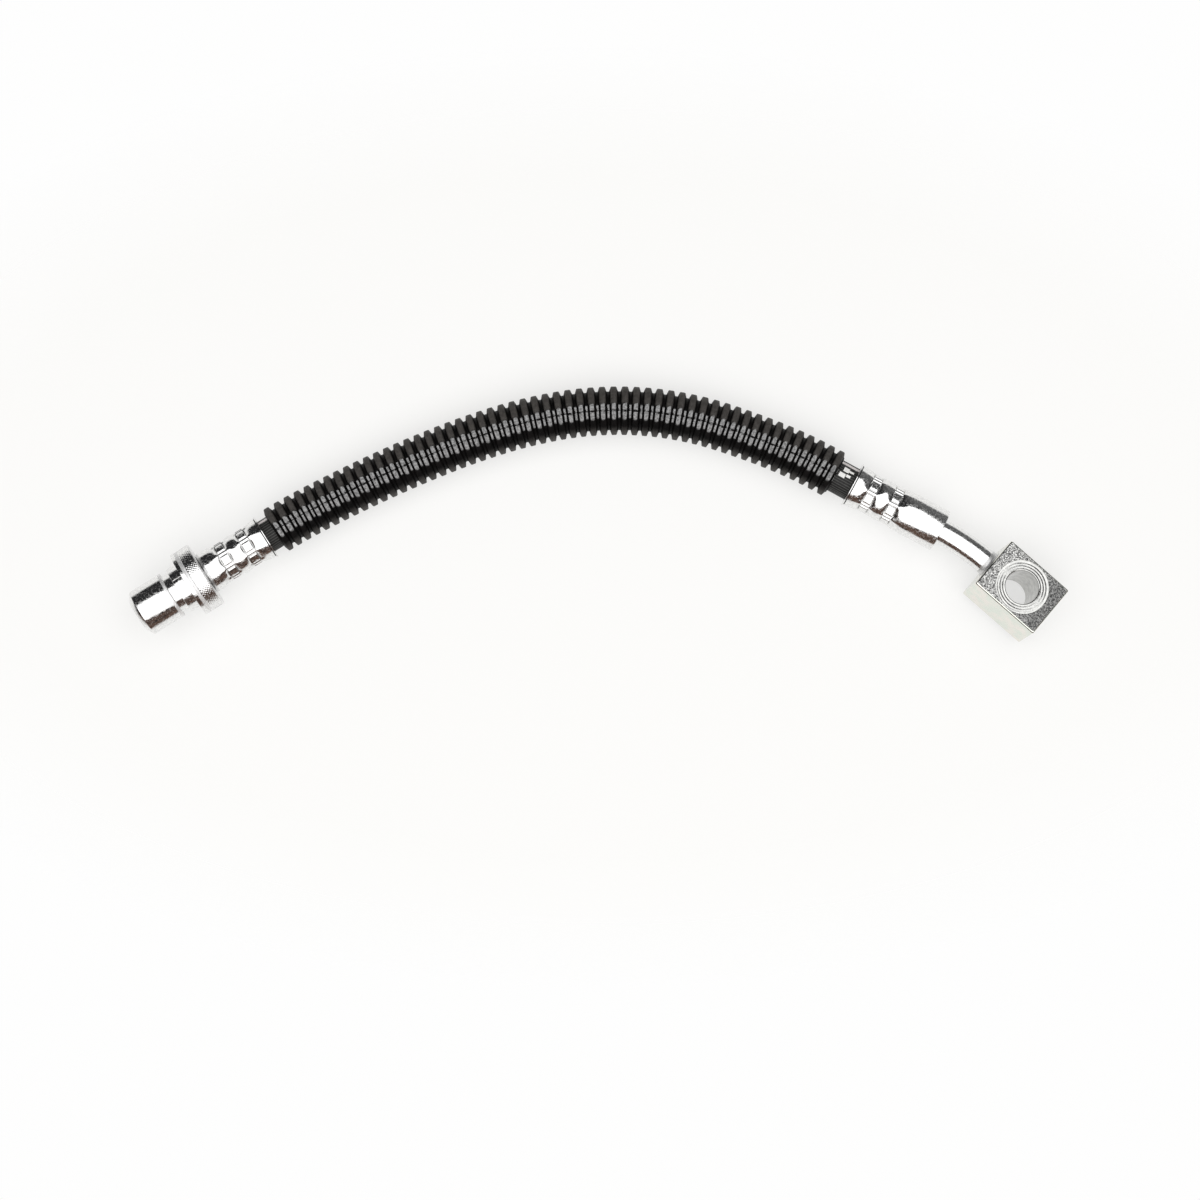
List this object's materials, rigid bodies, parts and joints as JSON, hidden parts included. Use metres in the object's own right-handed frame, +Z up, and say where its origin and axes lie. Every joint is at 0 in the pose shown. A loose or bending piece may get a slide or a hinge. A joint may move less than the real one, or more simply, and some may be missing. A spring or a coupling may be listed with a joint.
{
  "type": "brake hose",
  "caption": "Curved black rubber brake hose in a ribbed guard sleeve, with a collared female screw end on the left and a short bent tube carrying a banjo block on the right.",
  "frame": {"origin": "on the surface the hose lies on, below the middle of its box", "axes": "+X from the female end to the block, +Y towards the crown of the bend, +Z up from the surface"},
  "size_m": [0.2849, 0.0782, 0.0213],
  "materials": {
    "hose_rubber": "matt black rubber with fine lengthwise lines",
    "guard_rubber": "semi-gloss black moulded ribs",
    "plated_steel": "bright plated steel",
    "zinc_steel": "zinc plated steel with a fine grain"
  },
  "bodies": {
    "root": {"rubber_hose": "hose_rubber", "scuff_guard": "guard_rubber", "inlet_fitting": "plated_steel", "inlet_ferrule": "plated_steel", "outlet_ferrule": "plated_steel", "outlet_stem": "zinc_steel", "outlet_tube": "plated_steel", "banjo_block": "zinc_steel"}
  },
  "joints": []
}
